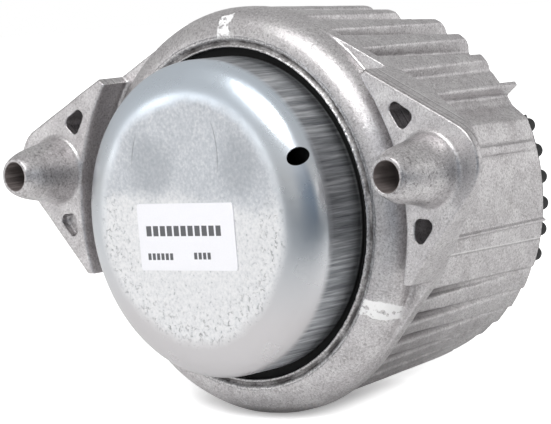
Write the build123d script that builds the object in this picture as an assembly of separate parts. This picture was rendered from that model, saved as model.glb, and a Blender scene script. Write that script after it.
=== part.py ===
from build123d import *
import os
from math import acos, atan2, cos, degrees, hypot, radians, sin, tan

# Frame: Y is the axis of the barrel, with the steel cap at -Y and the threaded core at +Y.
# X runs through the two ears and Z is up. Y = 0 is the lip of the housing's front mouth.
# Lengths are in millimetres. Angles are in degrees about the Y axis, from +X towards +Z.

# Front ring and rolled lip of the housing
mouth_radius = 47.5
lip_width = 0.7
lip_depth = 2.5
groove_width = 1.5
groove_depth = 1.1
ring_round = 8.8

# Barrel: a cone with fins round the bore, between the flange and its rear end. The wall thins rearwards.
bore_radius = 49.2
rear_opening_radius = bore_radius - 3.0
barrel_length = 70.4
barrel_wall_front = 6.2
barrel_wall_rear = 2.4
root_radius_front = bore_radius + barrel_wall_front
root_radius_rear = bore_radius + barrel_wall_rear
shoulder_radius_rear = root_radius_rear + 1.6
crest_bulge = 0.3

# Upper fins, which get lower and narrower to the rear, with rounded ends. The top ones end earlier.
upper_fin_count = 10
upper_fin_pitch_angle = 10.15
upper_fin_front_base_angle = 9.3
upper_fin_front_crest_angle = 7.0
upper_fin_rear_base_angle = 6.5
upper_fin_rear_crest_angle = 2.9
upper_fin_radius_rear = root_radius_rear + 4.2
upper_fin_end_length = 6.5
fin_end_step = 0.25
fin_end_bend = 0.7
fin_end_half_angle = 4.0
short_fin_count = 4
short_fin_setback = 10.4

# Lower fins, whose grooves close up to the rear. The bottom ones end on a smooth rim.
lower_fin_count = 17
lower_fin_pitch_angle = 7.69
lower_fin_front_base_angle = 5.7
lower_fin_front_crest_angle = 3.2
lower_fin_rear_base_angle = 7.2
lower_fin_rear_crest_angle = 6.7
lower_fin_drop = 0.8
lower_fin_radius_rear = root_radius_rear + 1.7
lower_groove_depth_rear = 0.7
lower_fin_end_length = 2.6
rim_fin_count = 9
rim_length = 4.6

# Fins on the parting line
parting_fin_angle = 32.3
parting_fin_width = 1.7
parting_fin_base_width = 2.7
parting_fin_radius_rear = root_radius_rear + 6.4

# Smooth panels behind the ears, from which the lower fins fall away
panel_low_angle = 22.8
panel_low_rear_angle = 23.8
panel_low_flank_angle = 0.6
panel_high_angle = 21.6
panel_high_flank_angle = 6.0
panel_radius_rear = root_radius_rear + 4.6
fall_sweep_angle = 29.0
flash_rib_angle = -9.0
flash_rib_width = 0.9
flash_rib_height = 1.2
gusset_angle = 13.3
gusset_width = 2.6
gusset_height = 2.8
gusset_end_height = 0.9
gusset_setback = 1.5
rib_bury = 1.0

# Flange plate with the two ears
flange_thickness = 3.6
flange_rear = 12.3
flange_step = 0.2
ear_tip_x = 76.2
ear_tip_z = 14.5
ear_tip_radius = 11.7
ear_proud = 1.3
ear_inner_radius = 62.2
ear_top_angle = 38.0
ear_bottom_z = -18.6
ear_tip_thickness = 2.3
ear_back_slope_angle = 24.6
ear_edge_round = 0.7
pocket_depth = 8.0
shallow_pocket_depth = 2.4
pocket_round = 1.8
upper_pocket = [(61.0, 29.1), (64.7, 27.0), (63.2, 25.7)]
lower_pocket = [(67.2, -2.2), (69.5, -2.3), (67.0, -5.2)]

# Bolt bosses on the ears
boss_x = 71.4
boss_z = 12.75
boss_reach = 19.2
boss_base_radius = 9.9
boss_flare = 0.8
boss_neck_radius = 7.75
boss_neck_length = 6.2
boss_tip_radius = 5.2
bolt_hole_diameter = 8.5
spotface_diameter = 18.0
spotface_y = 6.5

# Bore that takes the inner stack
rear_shoulder = 6.4
fit_clearance = 0.2

# Steel cap, a deep-drawn cup with a flange
cap_radius = 45.0
cap_wall = 1.5
cap_reach = 19.3
cap_side_round = 6.3
cap_side_sweep_angle = 50.0
cap_face_round = 14.0
vent_angle = 25.0
vent_width = 4.9
vent_length = 6.4

# Label on the cap's flat face
label_width = 37.2
label_height = 18.9
label_thickness = 0.2
label_round = 0.8
label_x = -1.7
label_z = -4.1
label_turn_angle = 1.2

# Rubber diaphragm and the steel ring that clamps its bead
clamp_ring_width = 4.5
clamp_ring_thickness = 1.5
diaphragm_bead = 2.5
diaphragm_wall = 1.8
diaphragm_outer_radius = 42.4
diaphragm_fold_width = 8.8
diaphragm_fold_y = -5.0
diaphragm_dish_y = 2.0

# Inertia track: body, cover, the loose decoupler between them and their rivets
track_body_thickness = 10.0
track_cover_thickness = 2.0
channel_radius = 40.0
channel_width = 6.0
channel_depth = 6.5
channel_sweep_angle = 320.0
decoupler_radius = 26.0
decoupler_thickness = 3.0
decoupler_play = 0.3
port_diameter = 4.6
port_ring_radius = 16.0
port_count = 8
rivet_diameter = 3.0
rivet_head_diameter = 5.4
rivet_head_height = 1.2
rivet_ring_radius = 32.0
rivet_count = 3

# Main rubber spring with its bonded sleeve and core
sleeve_wall = 2.0
sleeve_fold = 3.0
core_front_y = 36.0
core_front_radius = 12.5
core_shoulder_y = 64.0
core_radius = 21.0
core_rear_y = 78.0
core_edge = 1.2
rubber_film = 1.5
rubber_arch_radius = 31.0
rubber_arch_y = 42.0
rubber_sleeve_y = 31.0
rubber_dip_radius = 35.0
rubber_dip_y = 55.0
rubber_rear_y = 68.0
rubber_edge_y = 61.0

# Threaded insert and locating pin in the core
insert_radius = 8.0
insert_length = 24.0
insert_collar_radius = 9.5
insert_collar_height = 1.5
thread_bore_diameter = 10.2
pin_diameter = 5.0
pin_shank_diameter = 5.6
pin_depth = 9.0
pin_proud = 5.0
pin_offset = 15.0
pin_edge = 0.6

# Rubber stop pads on the rear face of the barrel
pad_inset = 3.6
pad_width = 5.6
pad_thickness = 0.9
pad_half_angle = 23.0
nub_count = 6
nub_pitch_angle = 8.3
nub_diameter = 4.2
nub_height = 4.1
nub_turn_angle = -0.6
nub_inset = 2.2

# Worked out from the sizes above
ring_base_radius = mouth_radius + lip_width + groove_width
ring_radius = ring_base_radius + ring_round
flange_radius = ring_radius + flange_step
flange_front = flange_rear - flange_thickness
stack_radius = bore_radius - fit_clearance
clamp_ring_front = lip_depth + cap_wall
bead_front = clamp_ring_front + clamp_ring_thickness
track_front = bead_front + diaphragm_bead
track_rear = track_front + track_body_thickness
cover_rear = track_rear + track_cover_thickness
sleeve_rear = barrel_length - rear_shoulder
sleeve_inner_radius = stack_radius - sleeve_wall
cap_side_y = cap_side_round * sin(radians(cap_side_sweep_angle)) - cap_reach
cap_side_y += cap_face_round * (1 - sin(radians(cap_side_sweep_angle)))
cap_turn_radius = cap_radius - cap_side_round * (1 - cos(radians(cap_side_sweep_angle)))
cap_turn_y = cap_side_y - cap_side_round * sin(radians(cap_side_sweep_angle))
pad_inner_radius = rear_opening_radius + pad_inset
pad_outer_radius = pad_inner_radius + pad_width
nub_ring_radius = pad_outer_radius - nub_inset
reach_past = 30.0


def polar(radius, angle, y):
    """Point at a radius and an angle about the barrel's axis."""
    return Vector(radius * cos(radians(angle)), y, radius * sin(radians(angle)))


def revolved(corners):
    """Solid of revolution about the barrel's axis, from (radius, y) corners."""
    return revolve(make_face(Polyline(*corners, close=True)), Axis.Y)


def tube(outer, inner, start, end):
    """Plain ring between two radii, along the barrel's axis."""
    return revolved([(inner, start), (outer, start), (outer, end), (inner, end)])


def raised(sketch, start, end):
    """A flat outline drawn in X and Z, made solid between two places along Y."""
    return extrude(Plane.XZ.offset(-start) * sketch, -(end - start))


def rod(radius, x, z, start, end):
    """Round bar parallel to the barrel's axis."""
    return raised(Pos(x, z) * Circle(radius), start, end)


def ring_of_rods(radius, ring_radius_here, count, start, end):
    """Round bars spread evenly on a circle about the barrel's axis."""
    bars = []
    for index in range(count):
        spot = polar(ring_radius_here, index * 360 / count, 0)
        bars.append(rod(radius, spot.X, spot.Z, start, end))
    return bars


def both_sides(solid):
    """The solid and its mirror image on the other side of X = 0."""
    return [solid, mirror(solid, about=Plane.YZ)]


def sector(outer, inner, start, end, from_angle, to_angle):
    """Part of a ring between two angles."""
    face = make_face(Polyline((inner, start), (outer, start), (outer, end), (inner, end), close=True))
    return Rot(0, -from_angle, 0) * revolve(face, -Axis.Y, to_angle - from_angle)


def radial_rib(corners, width, angle):
    """Rib of even width in a plane through the axis, from (radius, y) corners."""
    plate = extrude(make_face(Polyline(*corners, close=True)), width / 2, both=True)
    return Rot(0, -angle, 0) * plate


def from_top(angle):
    """Degrees between an angle and straight up, on either side."""
    return abs((angle + 90) % 360 - 180)


def lower_crest_radius(angle):
    """Rear radius of the lower fins, which falls away from the side panels to the bottom."""
    below_panel = from_top(angle) - 90 - panel_low_rear_angle
    share = min(1.0, max(0.0, below_panel / fall_sweep_angle))
    return panel_radius_rear + (lower_fin_radius_rear - panel_radius_rear) * share


def root_radius(angle, rear):
    """Radius of the valley floor between the fins."""
    if not rear:
        return root_radius_front
    if from_top(angle) > 90:
        return lower_crest_radius(angle) - lower_groove_depth_rear
    outermost_fin = upper_fin_pitch_angle * (upper_fin_count - 1) / 2
    return shoulder_radius_rear if from_top(angle) > outermost_fin else root_radius_rear


def fan(middle, count, pitch):
    """Angles spread evenly on both sides of a middle angle."""
    return [middle + (index - (count - 1) / 2) * pitch for index in range(count)]


def fin(angle, base, crest, top, bulge):
    """A symmetrical fin as the angles of its foot, crest, crest and foot, its top and its bulge."""
    return (angle - base / 2, angle - crest / 2, angle + crest / 2, angle + base / 2, top, bulge)


def humps(rear):
    """What stands up from the cone at its front or rear, in order round the axis."""
    upper_base = upper_fin_rear_base_angle if rear else upper_fin_front_base_angle
    upper_crest = upper_fin_rear_crest_angle if rear else upper_fin_front_crest_angle
    upper_top = upper_fin_radius_rear if rear else ring_radius
    lower_base = lower_fin_rear_base_angle if rear else lower_fin_front_base_angle
    lower_crest = lower_fin_rear_crest_angle if rear else lower_fin_front_crest_angle
    found = []
    for angle in fan(90, upper_fin_count, upper_fin_pitch_angle):
        found.append(fin(angle, upper_base, upper_crest, upper_top, crest_bulge))
    for angle in fan(-90, lower_fin_count, lower_fin_pitch_angle):
        top = lower_crest_radius(angle) if rear else ring_radius - lower_fin_drop
        found.append(fin(angle, lower_base, lower_crest, top, 0))
    parting_top = parting_fin_radius_rear if rear else ring_radius
    parting_base = degrees(parting_fin_base_width / parting_top)
    parting_crest = degrees(parting_fin_width / parting_top)
    for angle in (parting_fin_angle, 180 - parting_fin_angle):
        found.append(fin(angle, parting_base, parting_crest, parting_top, 0))
    low = panel_low_rear_angle if rear else panel_low_angle
    low_foot = low + panel_low_flank_angle
    high_foot = panel_high_angle + panel_high_flank_angle
    panel_top = panel_radius_rear if rear else ring_radius
    found.append((-low_foot, -low, panel_high_angle, high_foot, panel_top, 0))
    found.append((180 - high_foot, 180 - panel_high_angle, 180 + low, 180 + low_foot, panel_top, 0))
    return sorted(found, key=lambda hump: (hump[0] + 180) % 360)


def barrel_section(y, rear):
    """Outline of the finned barrel at one of its ends."""
    ring = humps(rear)
    edges = []
    for index, (foot_from, crest_from, crest_to, foot_to, top, bulge) in enumerate(ring):
        foot_next = ring[(index + 1) % len(ring)][0]
        foot_next = foot_to + (foot_next - foot_to) % 360
        middle = (foot_to + foot_next) / 2
        left = polar(top - bulge, crest_from, y)
        right = polar(top - bulge, crest_to, y)
        foot = polar(root_radius(foot_to, rear), foot_to, y)
        edges.append(Line(polar(root_radius(foot_from, rear), foot_from, y), left))
        edges.append(ThreePointArc(left, polar(top, (crest_from + crest_to) / 2, y), right))
        edges.append(Line(right, foot))
        edges.append(ThreePointArc(foot, polar(root_radius(middle, rear), middle, y),
                                   polar(root_radius(foot_next, rear), foot_next, y)))
    return make_face(edges)


def fin_end_cutter(middle, half_sweep, root, crest, end, length):
    """Rounds the rear ends of fins, from the crest down to the root, and clears what is behind."""
    low = (root + fin_end_step, end)
    high = (crest + fin_end_step, end - length)
    bend = (low[0] + (high[0] - low[0]) * fin_end_bend, end - length * (1 - fin_end_bend))
    far = crest + reach_past
    edges = [ThreePointArc(low, bend, high)]
    edges.append(Polyline(high, (far, high[1]), (far, barrel_length + 1), (low[0], barrel_length + 1), low))
    return Rot(0, half_sweep - middle, 0) * revolve(make_face(edges), -Axis.Y, 2 * half_sweep)


def between(front_value, rear_value, y):
    """Value at a place along the barrel, on a straight line from its front to its rear."""
    front = flange_rear - 1
    return front_value + (rear_value - front_value) * (y - front) / (barrel_length - front)


def barrel():
    """Finned barrel, which tapers to the rear so that the casting leaves its die."""
    body = loft([barrel_section(flange_rear - 1, False), barrel_section(barrel_length, True)], ruled=True)
    short_end = barrel_length - short_fin_setback
    for count, end in ((upper_fin_count, barrel_length), (short_fin_count, short_end)):
        crest = between(ring_radius, upper_fin_radius_rear, end - upper_fin_end_length)
        root = between(root_radius_front, root_radius_rear, end)
        half_sweep = upper_fin_pitch_angle * (count - 1) / 2 + fin_end_half_angle
        body -= fin_end_cutter(90, half_sweep, root, crest, end, upper_fin_end_length)
    end = barrel_length - rim_length
    crest = between(ring_radius - lower_fin_drop, lower_fin_radius_rear, end - lower_fin_end_length)
    root = lower_fin_radius_rear - lower_groove_depth_rear
    half_sweep = lower_fin_pitch_angle * rim_fin_count / 2
    return body - fin_end_cutter(-90, half_sweep, root, crest, end, lower_fin_end_length)


def side_ribs():
    """Gusset and parting flash on the right-hand panel."""
    foot = panel_radius_rear - rib_bury
    gusset_end = barrel_length - gusset_setback
    gusset = [(foot, flange_front), (ring_radius + gusset_height, flange_front)]
    gusset += [(panel_radius_rear + gusset_end_height, gusset_end), (foot, gusset_end)]
    flash = [(foot, flange_front), (ring_radius + flash_rib_height, flange_front)]
    flash += [(panel_radius_rear + flash_rib_height, barrel_length), (foot, barrel_length)]
    ribs = [radial_rib(gusset, gusset_width, gusset_angle)]
    ribs.append(radial_rib(flash, flash_rib_width, flash_rib_angle))
    return ribs


def front_ring():
    """Rounded ring about the mouth, with the rolled lip and its groove."""
    lip_outer = mouth_radius + lip_width
    groove_middle = lip_outer + groove_width / 2
    corners = [(ring_radius, ring_round), (ring_radius, flange_rear), (mouth_radius, flange_rear)]
    corners += [(mouth_radius, 0), (lip_outer, 0), (groove_middle, groove_depth), (ring_base_radius, 0)]
    edges = [Polyline(*corners)]
    edges.append(CenterArc((ring_base_radius, ring_round), ring_round, -90, 90))
    return revolve(make_face(edges), Axis.Y)


def flange_outline():
    """Circle about the barrel, with straight tangents out to the tip circle of the right ear."""
    reach = hypot(ear_tip_x, ear_tip_z)
    bearing = degrees(atan2(ear_tip_z, ear_tip_x))
    spread = degrees(acos((flange_radius - ear_tip_radius) / reach))
    corners = [(0, 0)]
    for angle, at_tip in ((-spread, False), (-spread, True), (spread, True), (spread, False)):
        radius = ear_tip_radius if at_tip else flange_radius
        spot = polar(radius, bearing + angle, 0)
        shift = (ear_tip_x, ear_tip_z) if at_tip else (0, 0)
        corners.append((spot.X + shift[0], spot.Z + shift[1]))
    web = make_face(Polyline(*corners, close=True))
    return web + Circle(flange_radius) + Pos(ear_tip_x, ear_tip_z) * Circle(ear_tip_radius)


def ear_pad():
    """Raised flat pad of the right ear, with its inner wall concentric with the barrel."""
    far = 2 * reach_past
    top = polar(far * 2, ear_top_angle, 0)
    corners = [(0, ear_bottom_z), (0, 0), (top.X, top.Z), (far * 3, 0), (far * 3, ear_bottom_z)]
    wedge = Polyline(*corners, close=True)
    outline = (flange_outline() & make_face(wedge)) - Circle(ear_inner_radius)
    pad = raised(outline, -ear_proud, flange_rear)
    face_edges = pad.edges().group_by(Axis.Y)[0]
    return fillet(face_edges, ear_edge_round)


def ear_back_cutter():
    """Clears the back of the right ear, which slopes forward to its thin tip."""
    tip_x = ear_tip_x + ear_tip_radius
    tip_y = ear_tip_thickness - ear_proud
    slope = tan(radians(ear_back_slope_angle))
    start_x = tip_x - (flange_rear - tip_y) / slope
    end_x = tip_x + reach_past
    corners = [(start_x, flange_rear), (end_x, flange_rear - slope * (end_x - start_x))]
    corners += [(end_x, flange_rear + 1), (start_x, flange_rear + 1)]
    return extrude(make_face(Polyline(*corners, close=True)), 3 * reach_past, both=True)


def boss():
    """Bullet-shaped bolt boss of the right ear, before its hole is bored."""
    neck_y = -(boss_reach - boss_neck_length)
    flare_top = (boss_base_radius, -(ear_proud + boss_flare))
    slope = (boss_neck_radius - flare_top[0], neck_y - flare_top[1])
    corners = [(boss_tip_radius, -boss_reach), (0, -boss_reach), (0, 0), (boss_base_radius, 0)]
    corners += [(boss_base_radius + boss_flare, -ear_proud), flare_top, (boss_neck_radius, neck_y)]
    edges = [Polyline(*corners)]
    edges.append(TangentArc(corners[-1], corners[0], tangent=slope))
    return Pos(boss_x, 0, boss_z) * revolve(make_face(edges), Axis.Y)


def pocket(centres, depth):
    """Rounded triangular core pocket in the face of an ear, from the centres of its corners."""
    outline = offset(make_face(Polyline(*centres, close=True)), pocket_round)
    return raised(outline, -ear_proud - 1, depth - ear_proud)


def housing():
    """Die-cast housing: front ring, flange with two ears, and the finned barrel."""
    body = front_ring() + barrel()
    for plate in both_sides(raised(flange_outline(), flange_front, flange_rear)):
        body += plate
    for pad in both_sides(ear_pad()):
        body += pad
    for cutter in both_sides(ear_back_cutter()):
        body -= cutter
    for rib in side_ribs():
        for solid in both_sides(rib):
            body += solid
    for solid in both_sides(boss()):
        body += solid
    lower_right = pocket(lower_pocket, pocket_depth)
    lower_left = mirror(pocket(lower_pocket, shallow_pocket_depth), about=Plane.YZ)
    for solid in both_sides(pocket(upper_pocket, pocket_depth)) + [lower_right, lower_left]:
        body -= solid
    hole = rod(bolt_hole_diameter / 2, boss_x, boss_z, -boss_reach - 1, barrel_length)
    spotface = rod(spotface_diameter / 2, boss_x, boss_z, spotface_y, barrel_length)
    for solid in both_sides(hole) + both_sides(spotface):
        body -= solid
    body -= rod(mouth_radius, 0, 0, -1, lip_depth + 1)
    body -= rod(bore_radius, 0, 0, lip_depth, sleeve_rear)
    body -= rod(rear_opening_radius, 0, 0, sleeve_rear - 1, barrel_length + 1)
    return body


def cap_profile(wall):
    """Outer line of the cap's section, or its inner line at a wall's depth, from flange to axis."""
    radius = cap_radius - wall
    side_round = cap_side_round - wall
    face_round = cap_face_round - wall
    side_centre = (radius - side_round, cap_side_y)
    back = cap_face_round
    turn = radians(cap_side_sweep_angle)
    face_centre = (cap_turn_radius - back * cos(turn), cap_turn_y + back * sin(turn))
    face_y = wall - cap_reach
    return [
        CenterArc(side_centre, side_round, 0, -cap_side_sweep_angle),
        CenterArc(face_centre, face_round, -cap_side_sweep_angle, cap_side_sweep_angle - 90),
        Line((face_centre[0], face_y), (0, face_y)),
    ]


def cap():
    """Deep-drawn steel cup, with a flange behind the lip and an oval vent in its shoulder."""
    rear = lip_depth + cap_wall
    inner_radius = cap_radius - cap_wall
    flange = Polyline((cap_radius, cap_side_y), (cap_radius, lip_depth), (stack_radius, lip_depth),
                      (stack_radius, rear), (inner_radius, rear), (inner_radius, cap_side_y))
    axis_wall = Line((0, -cap_reach), (0, cap_wall - cap_reach))
    cup = revolve(make_face([flange, axis_wall] + cap_profile(0) + cap_profile(cap_wall)), Axis.Y)
    slope = radians(cap_side_sweep_angle)
    spot = polar(cap_turn_radius, vent_angle, cap_turn_y)
    outward = polar(cos(slope), vent_angle, -sin(slope))
    along = polar(sin(slope), vent_angle, cos(slope))
    vent = Plane(origin=spot, x_dir=along, z_dir=outward) * Ellipse(vent_length / 2, vent_width / 2)
    return cup - extrude(vent, 3 * cap_wall, both=True)


def label():
    """Thin rectangular sticker on the cap's flat face."""
    sheet = RectangleRounded(label_width, label_height, label_round)
    sheet = Pos(label_x, label_z) * Rot(0, 0, label_turn_angle) * sheet
    return raised(sheet, -cap_reach - label_thickness, -cap_reach)


def clamp_ring():
    """Steel ring between the cap's flange and the diaphragm's bead."""
    return tube(stack_radius, stack_radius - clamp_ring_width, clamp_ring_front, bead_front)


def diaphragm():
    """Rolling rubber diaphragm: a clamped bead, a deep fold towards the cap, and a flat dish."""
    wall = diaphragm_wall
    outer = diaphragm_outer_radius
    inner = outer - diaphragm_fold_width
    fold_centre = ((outer + inner) / 2, diaphragm_fold_y)
    fold_radius = diaphragm_fold_width / 2
    fold = make_face([
        CenterArc(fold_centre, fold_radius, 180, 180),
        Line((outer, diaphragm_fold_y), (outer - wall, diaphragm_fold_y)),
        CenterArc(fold_centre, fold_radius - wall, 180, 180),
        Line((inner + wall, diaphragm_fold_y), (inner, diaphragm_fold_y)),
    ])
    body = tube(stack_radius, outer - wall, bead_front, track_front)
    body += tube(outer, outer - wall, diaphragm_fold_y, bead_front + 1)
    body += revolve(fold, Axis.Y)
    body += tube(inner + wall, inner, diaphragm_fold_y, diaphragm_dish_y + wall)
    body += rod(inner + wall / 2, 0, 0, diaphragm_dish_y, diaphragm_dish_y + wall)
    return body


def track_ports(start, end):
    """Flow holes above and below the decoupler."""
    ports = ring_of_rods(port_diameter / 2, port_ring_radius, port_count, start, end)
    ports.append(rod(port_diameter / 2, 0, 0, start, end))
    return ports


def rivet_holes(start, end):
    """Holes for the rivets through the track."""
    return ring_of_rods(rivet_diameter / 2, rivet_ring_radius, rivet_count, start, end)


def track_body():
    """Cast track body: a long channel round the rim and a seat for the decoupler."""
    body = rod(stack_radius, 0, 0, track_front, track_rear)
    half = channel_width / 2
    body -= sector(channel_radius + half, channel_radius - half, track_rear - channel_depth,
                   track_rear + 1, 0, channel_sweep_angle)
    seat_radius = decoupler_radius + decoupler_play
    seat_depth = decoupler_thickness + decoupler_play
    body -= rod(seat_radius, 0, 0, track_rear - seat_depth, track_rear + 1)
    for solid in track_ports(track_front - 1, track_rear):
        body -= solid
    for solid in rivet_holes(track_front - 1, track_rear + 1):
        body -= solid
    outlet = polar(channel_radius, channel_sweep_angle - 6, 0)
    return body - rod(half - 0.4, outlet.X, outlet.Z, track_front - 1, track_rear)


def decoupler():
    """Loose rubber disc in its seat in the track body."""
    seat = track_rear - decoupler_thickness - decoupler_play
    return rod(decoupler_radius, 0, 0, seat, seat + decoupler_thickness)


def track_cover():
    """Stamped cover plate over the track, with the channel's inlet and the decoupler's ports."""
    plate = rod(stack_radius, 0, 0, track_rear, cover_rear)
    for solid in track_ports(track_rear - 1, cover_rear + 1):
        plate -= solid
    for solid in rivet_holes(track_rear - 1, cover_rear + 1):
        plate -= solid
    inlet = polar(channel_radius, 6, 0)
    return plate - rod(channel_width / 2 - 0.4, inlet.X, inlet.Z, track_rear - 1, cover_rear + 1)


def track_rivets():
    """Rivets that hold the cover to the track body, as one group."""
    rivets = []
    for index in range(rivet_count):
        spot = polar(rivet_ring_radius, index * 360 / rivet_count, 0)
        rivet = rod(rivet_diameter / 2, spot.X, spot.Z, track_front, cover_rear)
        rivet += rod(rivet_head_diameter / 2, spot.X, spot.Z, track_front - rivet_head_height, track_front)
        rivet += rod(rivet_head_diameter / 2, spot.X, spot.Z, cover_rear, cover_rear + rivet_head_height)
        rivets.append(rivet)
    return Compound(children=rivets)


def outer_sleeve():
    """Steel sleeve bonded round the rubber, folded inwards where it presses on the track cover."""
    fold = sleeve_inner_radius - sleeve_fold
    return revolved([(fold, cover_rear), (stack_radius, cover_rear), (stack_radius, sleeve_rear),
                     (sleeve_inner_radius, sleeve_rear), (sleeve_inner_radius, cover_rear + sleeve_wall),
                     (fold, cover_rear + sleeve_wall)])


def core_blank():
    """Outer form of the core: a cone inside the rubber and a round stub at the rear."""
    return revolved([(0, core_front_y), (core_front_radius, core_front_y), (core_radius, core_shoulder_y),
                     (core_radius, core_rear_y - core_edge), (core_radius - core_edge, core_rear_y),
                     (0, core_rear_y)])


def spring_rubber():
    """Conical rubber spring between the sleeve and the core, arched over the fluid chamber."""
    film_radius = sleeve_inner_radius - rubber_film
    film_start = cover_rear + sleeve_wall
    nose = core_front_y - rubber_film
    nose_radius = core_front_radius + rubber_film
    arch = Spline((nose_radius, nose), (rubber_arch_radius, rubber_arch_y), (film_radius, rubber_sleeve_y))
    dip = Spline((core_radius, rubber_rear_y), (rubber_dip_radius, rubber_dip_y),
                 (sleeve_inner_radius, rubber_edge_y))
    chamber_line = Polyline((0, rubber_rear_y), (0, nose), (nose_radius, nose))
    film_line = Polyline((film_radius, rubber_sleeve_y), (film_radius, film_start),
                         (sleeve_inner_radius, film_start), (sleeve_inner_radius, rubber_edge_y))
    closing = Line((core_radius, rubber_rear_y), (0, rubber_rear_y))
    return revolve(make_face([chamber_line, arch, film_line, dip, closing]), Axis.Y) - core_blank()


def insert_blank():
    """Outer form of the threaded insert, with its collar let into the core's rear face."""
    body = rod(insert_radius, 0, 0, core_rear_y - insert_length, core_rear_y)
    return body + rod(insert_collar_radius, 0, 0, core_rear_y - insert_collar_height, core_rear_y)


def core():
    """Aluminium core, bored for the threaded insert and the locating pin."""
    body = core_blank() - insert_blank()
    return body - rod(pin_shank_diameter / 2, pin_offset, 0, core_rear_y - pin_depth, core_rear_y + 1)


def thread_insert():
    """Steel insert with the bore for the mount's main bolt."""
    bore = rod(thread_bore_diameter / 2, 0, 0, core_rear_y - insert_length - 1, core_rear_y + 1)
    return insert_blank() - bore


def locating_pin():
    """Steel pin that sets the angle of the bracket on the core, with a thicker shank pressed into it."""
    pin = rod(pin_diameter / 2, pin_offset, 0, core_rear_y, core_rear_y + pin_proud)
    pin = chamfer(pin.edges().group_by(Axis.Y)[-1], pin_edge)
    return pin + rod(pin_shank_diameter / 2, pin_offset, 0, core_rear_y - pin_depth, core_rear_y)


def stop_pad():
    """Rubber stop pad with a row of nubs, on the rear face behind the right-hand ear."""
    rear = barrel_length + pad_thickness
    pad = sector(pad_outer_radius, pad_inner_radius, barrel_length, rear, -pad_half_angle, pad_half_angle)
    nub_radius = nub_diameter / 2
    for angle in fan(nub_turn_angle, nub_count, nub_pitch_angle):
        spot = polar(nub_ring_radius, angle, 0)
        dome_y = rear + nub_height - nub_radius
        pad += rod(nub_radius, spot.X, spot.Z, barrel_length + pad_thickness / 2, dome_y)
        pad += Pos(spot.X, dome_y, spot.Z) * Sphere(nub_radius)
    return pad


def write_part(name, solid):
    """Writes one sub-part as a STEP file named after its node."""
    export_step(solid, f"parts/{name}.step")
    print(name, round(solid.volume), "cubic mm")


os.makedirs("parts", exist_ok=True)
pad_right, pad_left = both_sides(stop_pad())
write_part("housing", housing())
write_part("cap", cap())
write_part("label", label())
write_part("clamp_ring", clamp_ring())
write_part("diaphragm", diaphragm())
write_part("track_body", track_body())
write_part("decoupler", decoupler())
write_part("track_cover", track_cover())
write_part("track_rivets", track_rivets())
write_part("outer_sleeve", outer_sleeve())
write_part("spring_rubber", spring_rubber())
write_part("core", core())
write_part("thread_insert", thread_insert())
write_part("locating_pin", locating_pin())
write_part("stop_pad_right", pad_right)
write_part("stop_pad_left", pad_left)
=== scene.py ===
from functools import partial
from math import cos, radians, sin

import bpy
import numpy as np
from mathutils import Matrix, Vector, noise


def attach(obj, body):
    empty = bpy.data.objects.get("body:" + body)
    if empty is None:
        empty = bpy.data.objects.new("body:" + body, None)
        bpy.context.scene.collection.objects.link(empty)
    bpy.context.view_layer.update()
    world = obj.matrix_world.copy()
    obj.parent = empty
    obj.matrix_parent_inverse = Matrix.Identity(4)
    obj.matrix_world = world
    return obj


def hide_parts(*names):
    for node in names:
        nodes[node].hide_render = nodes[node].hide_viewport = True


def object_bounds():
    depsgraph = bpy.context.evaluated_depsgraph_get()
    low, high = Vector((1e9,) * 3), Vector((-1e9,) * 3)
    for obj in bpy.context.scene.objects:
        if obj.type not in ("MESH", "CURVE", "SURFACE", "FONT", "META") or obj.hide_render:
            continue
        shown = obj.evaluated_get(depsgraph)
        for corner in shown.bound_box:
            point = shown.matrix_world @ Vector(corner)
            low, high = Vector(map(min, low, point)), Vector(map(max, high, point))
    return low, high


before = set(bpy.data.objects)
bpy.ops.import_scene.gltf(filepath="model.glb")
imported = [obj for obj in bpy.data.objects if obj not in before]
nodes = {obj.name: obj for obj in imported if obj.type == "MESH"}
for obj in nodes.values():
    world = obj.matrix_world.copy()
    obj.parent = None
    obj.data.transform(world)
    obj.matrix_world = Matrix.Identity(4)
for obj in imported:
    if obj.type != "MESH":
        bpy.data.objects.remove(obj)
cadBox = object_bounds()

scene = bpy.context.scene
scene.view_settings.view_transform = "Standard"
mm = 0.001


def toLinear(hexColour):
    # sRGB hex to the linear values that shaders work in
    values = [int(hexColour[i:i + 2], 16) / 255 for i in (1, 3, 5)]
    return [v / 12.92 if v <= 0.04045 else ((v + 0.055) / 1.055) ** 2.4 for v in values] + [1]


def addNode(tree, kind, inputs=(), out=0, stops=(), **attributes):
    # adds one node and gives back one of its outputs
    # an input is a number, a hex colour or the output of another node
    node = tree.nodes.new("ShaderNode" + kind)
    for name, value in attributes.items():
        setattr(node, name, value)
    for name, value in (inputs.items() if isinstance(inputs, dict) else enumerate(inputs)):
        socket = node.inputs[name]
        if isinstance(value, bpy.types.NodeSocket):
            tree.links.new(value, socket)
        else:
            socket.default_value = toLinear(value) if isinstance(value, str) else value
    for index, (position, colour) in enumerate(stops):
        points = node.color_ramp.elements
        point = points[index] if index < len(points) else points.new(position)
        point.position = position
        point.color = toLinear(colour)
    return node.outputs[out] if node.outputs else node


def newMaterial(name):
    # an empty material, and the way to add nodes to it
    material = bpy.data.materials.new(name)
    material.use_nodes = True
    material.node_tree.nodes.clear()
    return material, partial(addNode, material.node_tree)


# Camera: fitted to the lip, the ear holes and the rear rim, so it carries a slight roll
cameraPlace = {
    "azimuth": 42.17,
    "elevation": 5.23,
    "roll": -3.96,
    "place": (0.48038, -0.51404, 0.06436),
    "lens": 162.43,
    "sensor": 36,
    "nearest": 0.01,
}


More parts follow.
